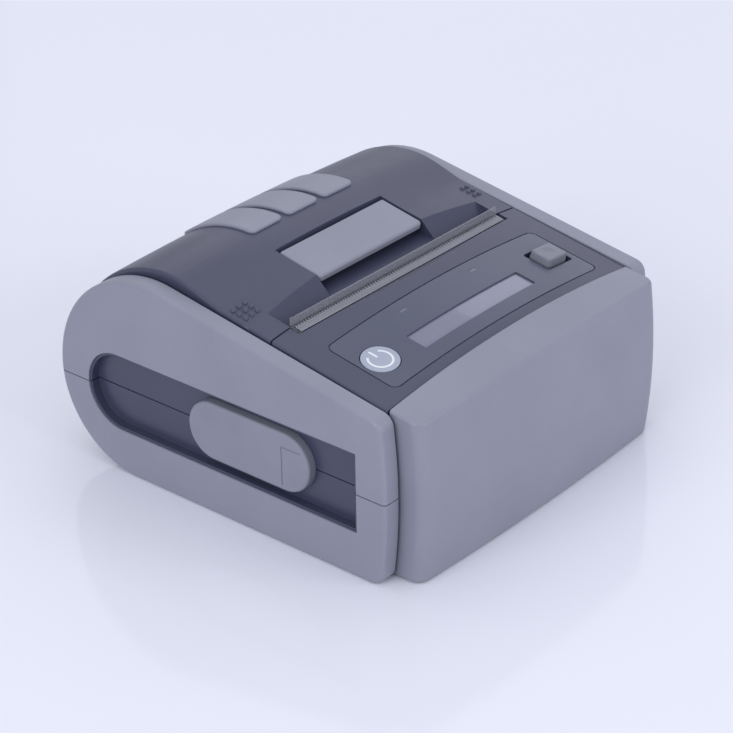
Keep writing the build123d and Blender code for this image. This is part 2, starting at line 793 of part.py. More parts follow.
def make_open_lever():
    """Flat plate with a rounded front and a barrel under its rear edge."""
    front_top_z = lever_front_z + 1.5
    length = hypot(lever_rear_y - lever_front_y, lever_rear_z - front_top_z)
    tilt = degrees(atan((lever_rear_z - front_top_z) / (lever_rear_y - lever_front_y)))
    half = lever_thickness / 2
    plate = Box(2 * lever_half_width, length, lever_thickness)
    corners = plate.edges().filter_by(Axis.Z).sort_by(Axis.Y)[:2]
    plate = fillet(corners, lever_front_corner)
    top = plate.faces().sort_by(Axis.Z)[-1]
    plate = fillet(top.edges().sort_by(Axis.Y)[:-1], lever_thickness * 0.45)
    lever = Pos(0, lever_rear_y, lever_rear_z) * Rot(tilt, 0, 0) * Pos(0, -length / 2, -half) * plate
    lever += rod_x(-lever_half_width, lever_half_width, lever_axis_y, lever_axis_z, lever_barrel_radius)
    for side in (-1, 1):
        x0 = side * lever_lug_x - lever_lug_width / 2 - parting_gap
        x1 = side * lever_lug_x + lever_lug_width / 2 + parting_gap
        room = lever_lug_radius + lever_lug_gap
        lever -= rod_x(x0, x1, lever_axis_y, lever_axis_z, room)
        lever -= box_between(x0, x1, lever_axis_y - 2 * room, lever_axis_y + room, 50, lever_axis_z)
    return lever - rod_x(-30, 30, lever_axis_y, lever_axis_z, lever_pin_radius + running_clearance)


def make_platen_carrier():
    """Cross bar under the cover with an arm at each end for the platen and the latch rod."""
    arm_points = [
        (platen_y - 3.0, platen_z),
        (platen_y - 3.2, lip_bottom_z - 0.4),
        (1.2, 51.4),
        (1.6, 53.8),
        (13.0, 55.9),
        (13.0, 48.6),
        (5.0, 47.6),
        (platen_y + 4.0, platen_z - 2.0),
    ]
    arm = side_prism(arm_points, bush_inner_x, bush_inner_x + bush_width)
    arm += rod_x(bush_inner_x, bush_inner_x + bush_width, platen_y, platen_z, bush_radius + 1.2)
    arm -= rod_x(0, FAR, platen_y, platen_z, bush_radius)
    arm -= rod_x(0, FAR, latch_axis_y, latch_axis_z, latch_rod_radius + running_clearance)
    bar = box_between(-bush_inner_x - 0.5, bush_inner_x + 0.5, 4.6, 7.2, 49.4, 51.0)
    return both_sides(arm) + bar


def make_platen_bushes():
    bush = rod_x(bush_inner_x, bush_inner_x + bush_width, platen_y, platen_z, bush_radius)
    bush -= rod_x(0, FAR, platen_y, platen_z, shaft_radius + running_clearance)
    return both_sides(bush)


def make_platen_shaft():
    return rod_x(-bush_inner_x - 3.0, gear_inner_x + gear_width + 0.1, platen_y, platen_z, shaft_radius)


def make_platen_roller():
    tube = rod_x(-platen_half_length, platen_half_length, platen_y, platen_z, platen_radius)
    return tube - rod_x(-FAR, FAR, platen_y, platen_z, shaft_radius)


platen_pitch = gear_module * platen_teeth / 2
idler_pitch = gear_module * idler_teeth / 2
pinion_pitch = gear_module * pinion_teeth / 2
lift_y = platen_z - hinge_z
lift_z = hinge_y - platen_y
lift_angle = degrees(atan(lift_z / lift_y))
idler_y = platen_y - (platen_pitch + idler_pitch) * cos(radians(lift_angle))
idler_z = platen_z - (platen_pitch + idler_pitch) * sin(radians(lift_angle))
motor_y = idler_y + (idler_pitch + pinion_pitch) * cos(radians(motor_direction))
motor_z = idler_z + (idler_pitch + pinion_pitch) * sin(radians(motor_direction))
idler_step = 360.0 / idler_teeth
idler_offset = (lift_angle - motor_direction) % idler_step
pinion_turn = motor_direction + 180 - idler_offset * idler_teeth / pinion_teeth + 180.0 / pinion_teeth


def make_platen_gear():
    wheel = gear(platen_teeth, gear_width, shaft_radius, lift_angle + 180 + 180.0 / platen_teeth)
    return Pos(gear_inner_x, platen_y, platen_z) * wheel


def make_idler_gear():
    wheel = gear(idler_teeth, gear_width, idler_pin_radius + running_clearance, lift_angle)
    return Pos(gear_inner_x, idler_y, idler_z) * wheel


def make_motor_pinion():
    wheel = gear(pinion_teeth, gear_width, 0.75, pinion_turn)
    shaft = rod_x(frame_cheek_x - 1.0, gear_inner_x + gear_width, motor_y, motor_z, 0.75)
    return Pos(gear_inner_x, motor_y, motor_z) * wheel + shaft


def make_idler_pin():
    return rod_x(frame_cheek_x, gear_inner_x + gear_width + 0.1, idler_y, idler_z, idler_pin_radius)


def make_feed_motor():
    can = rod_x(frame_cheek_x - motor_length, frame_cheek_x, motor_y, motor_z, motor_radius)
    can = chamfer(can.edges().sort_by(Axis.X)[0], 0.8)
    rear = motor_y - 6.0
    plug = box_between(27.0, 36.0, motor_y - motor_radius - 2.4, rear, motor_z - 2.5, motor_z + 2.5)
    shaft_room = rod_x(frame_cheek_x - 1.2, FAR, motor_y, motor_z, 1.1)
    return can + plug - shaft_room


def make_mechanism_frame():
    """Bent sheet with two cheeks, the plate behind the head and the latch catch pins."""
    back_y = head_face_y - head_plate - heatsink_thickness - 1.6
    cheek_points = [
        (back_y - 1.0, main_board_z - 2.4),
        (back_y - 1.0, 47.6),
        (head_face_y - 1.5, 47.6),
        (head_face_y - 1.5, 39.2),
        (-1.2, 39.2),
        (-1.2, 24.0),
        (-6.0, 15.0),
        (-6.0, main_board_z - 2.4),
    ]
    cheek = side_prism(cheek_points, frame_cheek_x, frame_cheek_x + frame_sheet)
    catch = rod_x(frame_cheek_x, hook_inner_x + hook_thickness, catch_y, hook_nose_z, catch_pin_radius)
    both = both_sides(cheek + catch)
    plate = box_between(-frame_cheek_x - 0.5, frame_cheek_x + 0.5, back_y - 1.0, back_y, 37.0, 47.6)
    frame = both + plate
    frame -= rod_x(0, FAR, motor_y, motor_z, 1.2)
    frame -= rod_x(0, FAR, idler_y, idler_z, idler_pin_radius)
    return frame - rod_x(-FAR, FAR, head_pivot_y, head_pivot_z, head_pivot_radius + running_clearance)


def make_print_head():
    y0 = head_face_y - head_plate
    return box_between(-head_half_length, head_half_length, y0, head_face_y, head_bottom_z, head_top_z)


def make_heatsink():
    """Finned bar behind the head with the two pivot ends."""
    y0 = head_face_y - head_plate - heatsink_thickness
    y1 = head_face_y - head_plate
    bar = box_between(-head_half_length, head_half_length, y0, y1, head_bottom_z, head_top_z)
    for z in (40.4, 42.8, 45.2):
        bar -= box_between(-FAR, FAR, y0 - 1, y0 + 1.4, z, z + 1.2)
    pivot = rod_x(-frame_cheek_x - 1.2, frame_cheek_x + 1.2, head_pivot_y, head_pivot_z, head_pivot_radius)
    return bar + pivot


def make_paper_bucket():
    """Trough with two end discs for the paper roll."""
    outer = bay_radius + bay_wall
    half = bay_half_width + 1.0
    drum = rod_x(-half, half, bay_centre_y, bay_centre_z, outer)
    drum &= box_between(-FAR, FAR, -FAR, FAR, -FAR, bucket_rim_z)
    drum -= rod_x(-bay_half_width, bay_half_width, bay_centre_y, bay_centre_z, bay_radius)
    for x in (-24.0, 24.0):
        foot_top = bay_centre_z - bay_radius - 0.6
        drum += box_between(x - 3, x + 3, bay_centre_y - 3, bay_centre_y + 3, floor_top_z, foot_top)
    return drum - rod_x(-bay_half_width, bay_half_width, bay_centre_y, bay_centre_z, bay_radius)


def make_paper_guide():
    """Clear strip: a thin wall behind the slot, a leg below it and a foot under the blade."""
    wall_y = deck_rear_y - guide_thickness
    leg_y = guide_leg_y + running_clearance
    profile = [
        (guide_foot_y, foot_line_z(guide_foot_y)),
        (guide_foot_y, blade_line_z(guide_foot_y)),
        (wall_y, blade_line_z(wall_y)),
        (wall_y, guide_top_z),
        (deck_rear_y, guide_top_z),
        (deck_rear_y, trough_floor_z),
        (leg_y, trough_floor_z),
        (leg_y, foot_line_z(leg_y)),
    ]
    return side_prism(profile, -tear_half_length, tear_half_length)


def make_tear_blade():
    """Thin blade lying on the guide's foot, with a saw edge towards the slot."""
    half = tear_half_length - blade_end_gap
    count = int(2 * half / tooth_pitch)
    start = -count * tooth_pitch / 2
    root = blade_length - tooth_height
    points = [(start, 0)]
    for tooth in range(count):
        x = start + tooth * tooth_pitch
        points.append((x, root))
        points.append((x + tooth_pitch / 2, blade_length))
    points.append((-start, root))
    points.append((-start, 0))
    plane = Plane(
        origin=(0, blade_front_y, blade_front_z), x_dir=(1, 0, 0), z_dir=(0, -blade_slope, 1)
    )
    return extrude(plane * make_face(Polyline(points, close=True)), amount=blade_thickness)


def make_hinge_pin():
    reach = deck_half_width - 0.2
    return rod_x(-reach, reach, hinge_y, hinge_z, hinge_pin_radius)


def make_lever_pin():
    reach = recess_half_width
    return rod_x(-reach, reach, lever_axis_y, lever_axis_z, lever_pin_radius)


def make_latch_bar():
    """Rod across the cover with a flat hook at each end."""
    reach = hook_inner_x + hook_thickness
    rod = rod_x(-reach, reach, latch_axis_y, latch_axis_z, latch_rod_radius)
    half = hook_height / 2
    hook_points = [
        (latch_axis_y + 2.0, latch_axis_z - half),
        (latch_axis_y + 2.0, latch_axis_z + half - 0.4),
        (2.0, latch_axis_z + 0.2),
        (hook_nose_y + 3.6, hook_nose_z + half + 1.2),
        (hook_nose_y, hook_nose_z + half - 0.6),
        (hook_nose_y, hook_nose_z - half),
        (hook_nose_y + 4.0, hook_nose_z - half),
        (4.0, latch_axis_z - half - 1.2),
    ]
    hook = side_prism(hook_points, hook_inner_x, hook_inner_x + hook_thickness)
    return rod + both_sides(hook)


def block_form(inset):
    """The front block's outer form, every face moved inwards by inset."""
    bow = block_bow_radius - inset
    apex_y = block_front_y + inset
    centre_y = apex_y + bow

    def bow_y(z):
        return centre_y - sqrt(bow * bow - (z - block_bow_z) ** 2)

    low = block_bottom_z + inset
    wire = Curve() + [
        ThreePointArc((0, bow_y(60), 60), (0, apex_y, block_bow_z), (0, bow_y(low), low)),
        Line((0, bow_y(low), low), (0, -40, low)),
        Line((0, -40, low), (0, -40, 60)),
        Line((0, -40, 60), (0, bow_y(60), 60)),
    ]
    spread = 4.5
    axis = Axis((0, block_front_y + block_plan_radius, 0), (0, 0, 1))
    start = make_face(wire).rotate(axis, -spread)
    front = revolve(start, axis=axis, revolution_arc=2 * spread)
    half = block_half_width - inset
    front &= box_between(-half, half, -FAR, block_rear_y - inset, -FAR, FAR)

    def section(y, centre_height, side_height):
        drop = centre_height - side_height
        arc = ThreePointArc(
            (-58, y, centre_height - drop * (58 / block_half_width) ** 2),
            (0, y, centre_height),
            (58, y, centre_height - drop * (58 / block_half_width) ** 2),
        )
        sides = Polyline([arc @ 1, (58, y, -5), (-58, y, -5), arc @ 0])
        return make_face(Curve() + [arc, sides])

    rear = section(block_rear_y, block_top_rear[0] - inset, block_top_rear[1] - inset)
    step = (block_top_front[0] - block_top_rear[0]) / (block_top_front_y - block_rear_y)
    reach = -63.0
    side_step = (block_top_front[1] - block_top_rear[1]) / (block_top_front_y - block_rear_y)
    ahead = section(
        reach,
        block_top_rear[0] - inset + step * (reach - block_rear_y),
        block_top_rear[1] - inset + side_step * (reach - block_rear_y),
    )
    return front & loft([rear, ahead])


def make_battery_shell():
    """Hollow front block, open to the rear."""
    form = block_form(0.0)
    corners = form.edges().filter_by(lambda e: e.center().Y < block_front_y + 4 and abs(e.center().X) > 40)
    form = fillet(corners.filter_by(lambda e: e.length > 30), block_corner_radius)
    front_edges = form.edges().filter_by(
        lambda e: e.center().Y < block_rear_y - 2 and (e.center().Z > 44 or e.center().Z < 2)
    )
    form = fillet(front_edges, block_edge_radius)
    cavity = block_form(block_wall)
    rear_half = cavity & box_between(-FAR, FAR, -52, FAR, 0, FAR)
    return form - cavity - rear_half.moved(Pos(0, block_wall + 0.5, 0))


def make_battery_tray():
    """Box behind the front block that holds the cells."""
    front = block_rear_y - 2.0
    half = tray_half_width
    tray = box_between(-half, half, front, tray_rear_y, tray_bottom_z + 0.6, tray_top_z)
    inner = half - tray_wall
    back = tray_rear_y - tray_wall
    room = box_between(-inner, inner, -FAR, back, tray_bottom_z + 1.8, tray_top_z - tray_wall)
    tray -= room
    for x in (-cell_length / 2 - 1.4, cell_length / 2 + 0.2):
        tray += box_between(x, x + tray_wall, front, tray_rear_y, tray_bottom_z + 1, tray_top_z - 0.5)
    return tray


cell_low_z = tray_bottom_z + 1.8 + cell_gap + cell_radius
cell_step = 2 * cell_radius + cell_gap


def make_battery_cells():
    cells = Part()
    for z in (cell_low_z, cell_low_z + cell_step):
        cell = rod_x(-cell_length / 2, cell_length / 2 - 1.0, cell_y, z, cell_radius)
        cells += cell + rod_x(cell_length / 2 - 1.0, cell_length / 2, cell_y, z, 3.0)
    return cells


def make_battery_board():
    x0 = cell_length / 2 + 0.2 + tray_wall + 0.3
    board = box_between(x0, x0 + 1.2, -50.0, tray_rear_y - tray_wall - 0.3, 6.0, 34.0)
    chip = box_between(x0 + 1.2, x0 + 2.4, -46.0, -42.0, 16.0, 22.0)
    return board + chip


def make_battery_terminals():
    pads = Part()
    for x in (-7.5, -2.5, 2.5, 7.5):
        pads += box_between(x - 1.2, x + 1.2, tray_rear_y, tray_rear_y + 0.25, 23.4, 28.6)
    return pads


def make_battery_contacts():
    """Four leaf contacts on a carrier behind the bulkhead opening."""
    wall_y = bulkhead_y + bulkhead_thickness
    carrier = box_between(-12, 12, wall_y, wall_y + 2.4, 20.6, 31.4)
    for x in (-7.5, -2.5, 2.5, 7.5):
        carrier += box_between(x - 0.8, x + 0.8, tray_rear_y + 0.45, wall_y + 0.2, 25.0, 27.0)
    return carrier


def make_main_board():
    half = frame_cheek_x - 0.8
    board = box_between(-half, half, -34.0, 8.0, main_board_z, main_board_z + main_board_thickness)
    for x in (-38.0, 38.0):
        for y in (-30.5, 4.5):
            board += Pos(x, y, (main_board_z + floor_top_z) / 2) * Cylinder(2.0, main_board_z - floor_top_z)
    return board


def make_board_chips():
    chips = Part()
    for x, y, w, d, h in (
        (4.0, -20.0, 14.0, 14.0, 1.6),
        (-12.0, -4.0, 8.0, 5.5, 1.2),
        (16.0, -2.0, 6.0, 9.0, 1.4),
        (0.0, -31.0, 24.0, 3.6, 4.2),
        (-26.0, -2.0, 9.0, 6.0, 2.2),
        (31.0, -30.5, 10.0, 4.0, 5.0),
    ):
        chips += box_between(x - w / 2, x + w / 2, y - d / 2, y + d / 2, board_top, board_top + h)
    return chips


def make_fiscal_memory():
    block = box_between(-36.0, -14.0, -28.0, -10.0, board_top, board_top + 7.5)
    top = block.faces().sort_by(Axis.Z)[-1]
    return fillet(block.edges().filter_by(Axis.Z), 1.5) - (Pos(top.center()) * Box(16, 12, 0.6))


def make_port_board():
    x1 = -port_board_x
    board = box_between(x1 - port_board_thickness, x1, -27.0, -15.6, 10.0, 35.0)
    board += box_between(x1 - port_board_thickness, x1, -16.0, 9.0, 10.0, 35.0)
    return board


def make_serial_socket():
    back = -port_board_x - port_board_thickness
    low = socket_centre_z - 5.0
    body = box_between(port_face_x, back, socket_y - 7.0, socket_y + 7.0, low, low + 10.0)
    body -= box_between(port_face_x - 1, back - 0.8, socket_y - 6.0, socket_y + 6.0, low + 1.2, low + 8.8)
    tongue = box_between(port_face_x + 1.6, back, socket_y - 4.6, socket_y + 4.6, low + 1.2, low + 2.2)
    return body + tongue


def make_power_jack():
    back = -port_board_x - port_board_thickness
    low = socket_centre_z - 5.0
    body = box_between(port_face_x, back, jack_y - 5.0, jack_y + 5.0, low, low + 10.0)
    body -= rod_x(port_face_x - 1, back - 1.2, jack_y, socket_centre_z, 3.2)
    return body + rod_x(port_face_x + 0.8, back, jack_y, socket_centre_z, 0.9)


def make_key_switches():
    switches = Part()
    top = feed_switch_top
    for x, y in ((feed_x, feed_y), (power_x, power_y)):
        switches += deck_block(x, y, (switch_size, switch_size), top, top + switch_height)
    return switches


def make_feed_button():
    """Stepped button with a dished top and a flange that keeps it under the deck."""
    plane_top = deck_place(feed_x, feed_y, -feed_height)
    base_depth = deck_thickness + 0.3
    top_face = plane_top * RectangleRounded(feed_top[0], feed_top[1], 1.0)
    low_plane = deck_place(feed_x, feed_y, 0.2)
    low_face = low_plane * RectangleRounded(feed_base[0], feed_base[1], 1.2)
    cap = loft([low_face.face(), top_face.face()])
    top_edges = cap.faces().sort_by(Axis.Z)[-1].edges()
    cap = fillet(top_edges, 0.5)
    dish = plane_top * Pos(0, 0, feed_dish_radius - feed_dish_depth) * Sphere(feed_dish_radius)
    cap -= dish
    stem = deck_block(feed_x, feed_y, feed_base, 0.2, base_depth + flange_thickness, 1.2)
    flange_size = (feed_hole[0] + flange_margin, feed_hole[1] + flange_margin)
    flange = deck_block(feed_x, feed_y, flange_size, base_depth, base_depth + flange_thickness, 0.8)
    return cap + stem + flange


def make_power_key():
    disc = deck_disc(power_x, power_y, power_radius, -0.05, deck_thickness + 0.3)
    stem_end = feed_switch_top - power_travel - 0.3
    return disc + deck_disc(power_x, power_y, 2.0, deck_thickness, stem_end)


def make_status_lights():
    lights = Part()
    for x in light_x:
        size = (light_size[0] - 0.1, light_size[1] - 0.1)
        lights += deck_block(x, light_y, size, 0.05, deck_thickness + 1.4)
    return lights


def make_paper_sensor():
    body = box_between(-4.0, 4.0, -7.6, -3.8, 32.2, 35.4)
    foot = box_between(-3.0, 3.0, -7.0, -4.4, board_top, 32.2)
    return body + foot


def make_head_springs():
    """Two coil springs between the frame's back plate and the head's heat sink."""
    y0 = head_face_y - head_plate - heatsink_thickness - 1.6
    springs = Part()
    for x in (-22.0, 22.0):
        ring = Plane(origin=(x, y0 + 0.05, 46.9), x_dir=(1, 0, 0), z_dir=(0, 1, 0))
        tube = extrude(ring * (Circle(1.0) - Circle(0.7)), amount=1.5)
        springs += tube
    return springs


def make_case_screws():
    screws = Part()
    for side in (-1, 1):
        for y, top in post_places:
            head = Pos(side * post_x, y, 2.4) * Cylinder(screw_head_radius, 1.6)
            shank = Pos(side * post_x, y, (3.0 + top - 4) / 2) * Cylinder(screw_radius - 0.05, top - 7.0)
            slot = Pos(side * post_x, y, 1.6) * (Box(3.0, 0.6, 0.9) + Box(0.6, 3.0, 0.9))
            screws += head + shank - slot
    return screws


def make_rubber_feet():
    feet = Part()
    for side in (-1, 1):
        for y in foot_places:
            foot = Pos(side * 36.0, y, foot_height / 2) * Cylinder(foot_radius, foot_height)
            feet += fillet(foot.edges().sort_by(Axis.Z)[0], 0.4)
    return feet


def trim_half(region, mirrored):
    part = side_trim() & region
    return mirror(part, about=Plane.YZ) if mirrored else part


PIECES = {
    "lower_housing": make_lower_housing,
    "upper_housing": make_upper_housing,
    "right_upper_trim": lambda: trim_half(above_parting, False),
    "right_lower_trim": lambda: trim_half(below_parting, False),
    "left_upper_trim": lambda: trim_half(above_parting, True),
    "left_lower_trim": lambda: trim_half(below_parting, True),
    "port_cap": make_port_cap,
    "panel_overlay": make_panel_overlay,
    "display_window": make_display_window,
    "display_module": make_display_module,
    "keypad_board": make_keypad_board,
    "key_switches": make_key_switches,
    "status_lights": make_status_lights,
    "power_key": make_power_key,
    "feed_button": make_feed_button,
    "paper_guide": make_paper_guide,
    "tear_blade": make_tear_blade,
    "cover_shell": make_cover_shell,
    "left_grip_pad": lambda: make_grip_pad(-pad_side_outer, -pad_side_inner),
    "middle_grip_pad": lambda: make_grip_pad(-pad_middle_half, pad_middle_half),
    "right_grip_pad": lambda: make_grip_pad(pad_side_inner, pad_side_outer),
    "open_lever": make_open_lever,
    "lever_pin": make_lever_pin,
    "latch_bar": make_latch_bar,
    "platen_carrier": make_platen_carrier,
    "platen_bushes": make_platen_bushes,
    "platen_shaft": make_platen_shaft,
    "platen_roller": make_platen_roller,
    "platen_gear": make_platen_gear,
    "idler_gear": make_idler_gear,
    "idler_pin": make_idler_pin,
    "feed_motor": make_feed_motor,
    "motor_pinion": make_motor_pinion,
    "mechanism_frame": make_mechanism_frame,
    "print_head": make_print_head,
    "head_heatsink": make_heatsink,
    "head_springs": make_head_springs,
    "paper_sensor": make_paper_sensor,
    "paper_bucket": make_paper_bucket,
    "hinge_pin": make_hinge_pin,
    "main_board": make_main_board,
    "board_chips": make_board_chips,
    "fiscal_memory": make_fiscal_memory,
    "port_board": make_port_board,
    "serial_socket": make_serial_socket,
    "power_jack": make_power_jack,
    "battery_contacts": make_battery_contacts,
    "battery_shell": make_battery_shell,
    "battery_tray": make_battery_tray,
    "battery_cells": make_battery_cells,
    "battery_board": make_battery_board,
    "battery_terminals": make_battery_terminals,
    "case_screws": make_case_screws,
    "rubber_feet": make_rubber_feet,
}

os.makedirs("parts", exist_ok=True)
for name, make in PIECES.items():
    export_step(make(), f"parts/{name}.step")
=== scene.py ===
# Fiscal receipt printer: camera, finishes, power mark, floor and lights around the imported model
import json
import math

import bmesh
import bpy
from mathutils import Matrix, Vector


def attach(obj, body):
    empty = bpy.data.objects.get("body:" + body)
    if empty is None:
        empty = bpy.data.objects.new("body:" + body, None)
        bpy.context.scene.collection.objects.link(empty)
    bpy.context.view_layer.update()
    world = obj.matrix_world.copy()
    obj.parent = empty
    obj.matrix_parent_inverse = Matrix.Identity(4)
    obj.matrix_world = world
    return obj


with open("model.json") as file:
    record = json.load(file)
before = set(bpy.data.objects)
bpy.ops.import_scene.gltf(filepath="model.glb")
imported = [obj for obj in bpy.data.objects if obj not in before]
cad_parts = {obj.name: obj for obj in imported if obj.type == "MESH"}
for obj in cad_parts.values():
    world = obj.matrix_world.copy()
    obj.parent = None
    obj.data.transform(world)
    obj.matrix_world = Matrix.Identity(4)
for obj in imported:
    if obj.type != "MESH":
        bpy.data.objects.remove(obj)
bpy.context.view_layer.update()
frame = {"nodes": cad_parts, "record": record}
MM = 0.001

# Camera: the photograph's viewpoint, in the frame's own millimetres
camera_place = Vector((-446.18, -381.18, 341.35)) * MM
camera_forward = Vector((0.66681, 0.57129, -0.47853))
camera_roll = math.radians(-1.095)
focal_length = 121.70
sensor_width = 36.0

# Tones, linear
light_grey = (0.262, 0.27, 0.335)
rubber_grey = (0.258, 0.266, 0.328)
dark_grey = (0.053, 0.056, 0.101)
film_grey = (0.078, 0.088, 0.135)
key_grey = (0.38, 0.42, 0.52)
button_grey = (0.2, 0.206, 0.255)
display_body_grey = (0.2, 0.205, 0.25)
display_cell = (0.2, 0.206, 0.29)
display_cell_light = (0.205, 0.212, 0.297)
display_gap = (0.196, 0.202, 0.284)
ink_white = (0.8, 0.82, 0.86)
steel_grey = (0.3, 0.305, 0.34)
aluminium_grey = (0.72, 0.72, 0.74)
contact_gold = (0.8, 0.58, 0.25)
guide_tint = (0.4, 0.41, 0.46)
lens_tint = (0.2, 0.22, 0.28)
chip_black = (0.02, 0.02, 0.023)
platen_black = (0.018, 0.018, 0.02)
foot_black = (0.02, 0.02, 0.021)
potting_black = (0.025, 0.025, 0.035)
gear_cream = (0.68, 0.67, 0.6)
ceramic_tan = (0.55, 0.5, 0.4)
cell_blue = (0.03, 0.12, 0.26)
board_green = (0.012, 0.09, 0.035)
board_green_light = (0.014, 0.1, 0.04)
track_green = (0.03, 0.17, 0.06)
floor_low = (0.84, 0.85, 0.93)
floor_high = (0.855, 0.865, 0.945)
background_tone = (0.79, 0.805, 0.92)
ambient_tone = (0.78, 0.79, 0.88)
box_white = (0.97, 0.98, 1.0)
rear_box_white = (0.9, 0.93, 1.0)

# Metal grain: noise stretched along X
sheet_grain = (0.06, 1, 1)
machined_grain = (0.1, 1, 1)

# Floor and lights, in metres and watts
floor_half_size = 3.0
ambient_strength = 0.72
aim_at_object = (0, 0, 0.03)
aim_at_ground = (0, 0, 0)
lamps = (
    ("overhead_box", (0.1, 0.2, 1.2), aim_at_ground, (1.3, 1.0), 2.6, box_white),
    ("left_box", (-1.0, -0.1, 0.5), aim_at_object, (0.8, 0.7), 4.2, box_white),
    ("front_box", (0.2, -1.1, 0.45), aim_at_object, (0.9, 0.7), 4.4, box_white),
    ("right_rear_box", (1.5, 1.0, 0.95), aim_at_object, (1.3, 1.0), 2.4, rear_box_white),
)

# Deck and power symbol, in millimetres, repeated from the model
crown_radius = 410.0
deck_slope = 0.18
deck_height = 58.45
key_centre = (-36.1, -34.4)
symbol_radius = 3.2
symbol_line = 0.62
symbol_gap = math.radians(38)
symbol_bar = (0.9, 3.9)
symbol_lift = 0.07
symbol_thickness = 0.02


def make_camera():
    """The photograph's viewpoint, with its small roll."""
    data = bpy.data.cameras.new("view_camera")
    data.lens = focal_length
    data.sensor_width = sensor_width
    data.clip_start = 0.01
    camera = bpy.data.objects.new("view_camera", data)
    bpy.context.scene.collection.objects.link(camera)
    back = -camera_forward.normalized()
    right = camera_forward.cross(Vector((0, 0, 1))).normalized()
    up = right.cross(camera_forward).normalized()
    rolled_right = right * math.cos(camera_roll) + up * math.sin(camera_roll)
    rolled_up = up * math.cos(camera_roll) - right * math.sin(camera_roll)
    turn = Matrix((rolled_right, rolled_up, back)).transposed().to_4x4()
    camera.matrix_world = Matrix.Translation(camera_place) @ turn
    bpy.context.scene.camera = camera


class Nodes:
    """A small helper that adds shader nodes and joins their sockets."""

    def __init__(self, name):
        self.material = bpy.data.materials.new(name)
        self.material.use_nodes = True
        self.tree = self.material.node_tree
        self.shader = self.tree.nodes["Principled BSDF"]
        self.coords = self.tree.nodes.new("ShaderNodeTexCoord").outputs["Object"]

    def add(self, kind, **values):
        node = self.tree.nodes.new(kind)
        for key, value in values.items():
            setattr(node, key, value)
        return node

    def link(self, start, end):
        self.tree.links.new(start, end)

    def stretched(self, scale):
        mapping = self.add("ShaderNodeMapping")
        mapping.inputs["Scale"].default_value = scale
        self.link(self.coords, mapping.inputs["Vector"])
        return mapping.outputs["Vector"]

    def noise(self, scale, detail=3.0, roughness=0.55, vector=None):
        node = self.add("ShaderNodeTexNoise")
        node.inputs["Scale"].default_value = scale
        node.inputs["Detail"].default_value = detail
        node.inputs["Roughness"].default_value = roughness
        self.link(vector or self.coords, node.inputs["Vector"])
        return node.outputs["Fac"]

    def ramp(self, factor, low, high, low_at=0.3, high_at=0.7):
        node = self.add("ShaderNodeValToRGB")
        first, last = node.color_ramp.elements
        first.position, last.position = low_at, high_at
        first.color, last.color = (*low, 1), (*high, 1)
        self.link(factor, node.inputs["Fac"])
        return node.outputs["Color"]

    def span(self, factor, low, high):
        node = self.add("ShaderNodeMapRange")
        node.inputs["To Min"].default_value = low
        node.inputs["To Max"].default_value = high
        self.link(factor, node.inputs["Value"])
        return node.outputs["Result"]

    def bump(self, height, strength, distance, edge=0.0):
        node = self.add("ShaderNodeBump")
        node.inputs["Strength"].default_value = strength
        node.inputs["Distance"].default_value = distance * MM
        self.link(height, node.inputs["Height"])
        if edge:
            bevel = self.add("ShaderNodeBevel", samples=6)
            bevel.inputs["Radius"].default_value = edge * MM
            self.link(bevel.outputs["Normal"], node.inputs["Normal"])
        self.link(node.outputs["Normal"], self.shader.inputs["Normal"])


def shade(color, factor):
    """The same tone, lighter or darker."""
    return tuple(channel * factor for channel in color)


def moulded_plastic(
    name, color, rough=0.42, grain=0.35, grain_size=5200, spread=0.05, edge=0.25, gloss=0.5
):
    """Moulded plastic: fine spark-eroded grain, slight tone drift and uneven gloss."""
    n = Nodes(name)
    drift = n.noise(38, detail=4)
    tone = n.ramp(drift, shade(color, 1 - spread), shade(color, 1 + spread))
    n.link(tone, n.shader.inputs["Base Color"])
    gloss_drift = n.noise(160, detail=5, roughness=0.65)
    n.link(n.span(gloss_drift, rough - 0.05, rough + 0.07), n.shader.inputs["Roughness"])
    n.bump(n.noise(grain_size, detail=2, roughness=0.6), grain, 0.012, edge)
    n.shader.inputs["Specular IOR Level"].default_value = gloss
    return n.material


def soft_rubber(name, color, rough=0.62):
    """Matt rubber with a coarser grain than the plastic."""
    n = Nodes(name)
    drift = n.noise(55, detail=5)
    n.link(n.ramp(drift, shade(color, 0.93), shade(color, 1.06)), n.shader.inputs["Base Color"])
    n.link(n.span(n.noise(240, detail=4), rough - 0.05, rough + 0.08), n.shader.inputs["Roughness"])
    n.bump(n.noise(3400, detail=3), 0.4, 0.02, 0.3)
    n.shader.inputs["Specular IOR Level"].default_value = 0.35
    return n.material


def satin_metal(name, color, rough=0.32, along=(1, 1, 1)):
    """Rolled or machined metal with a fine grain along one axis."""
    n = Nodes(name)
    streaks = n.noise(900, detail=4, roughness=0.7, vector=n.stretched(along))
    n.link(n.ramp(streaks, shade(color, 0.82), shade(color, 1.08)), n.shader.inputs["Base Color"])
    n.link(n.span(streaks, rough - 0.08, rough + 0.12), n.shader.inputs["Roughness"])
    n.shader.inputs["Metallic"].default_value = 1.0
    n.bump(streaks, 0.15, 0.01, 0.1)
    return n.material


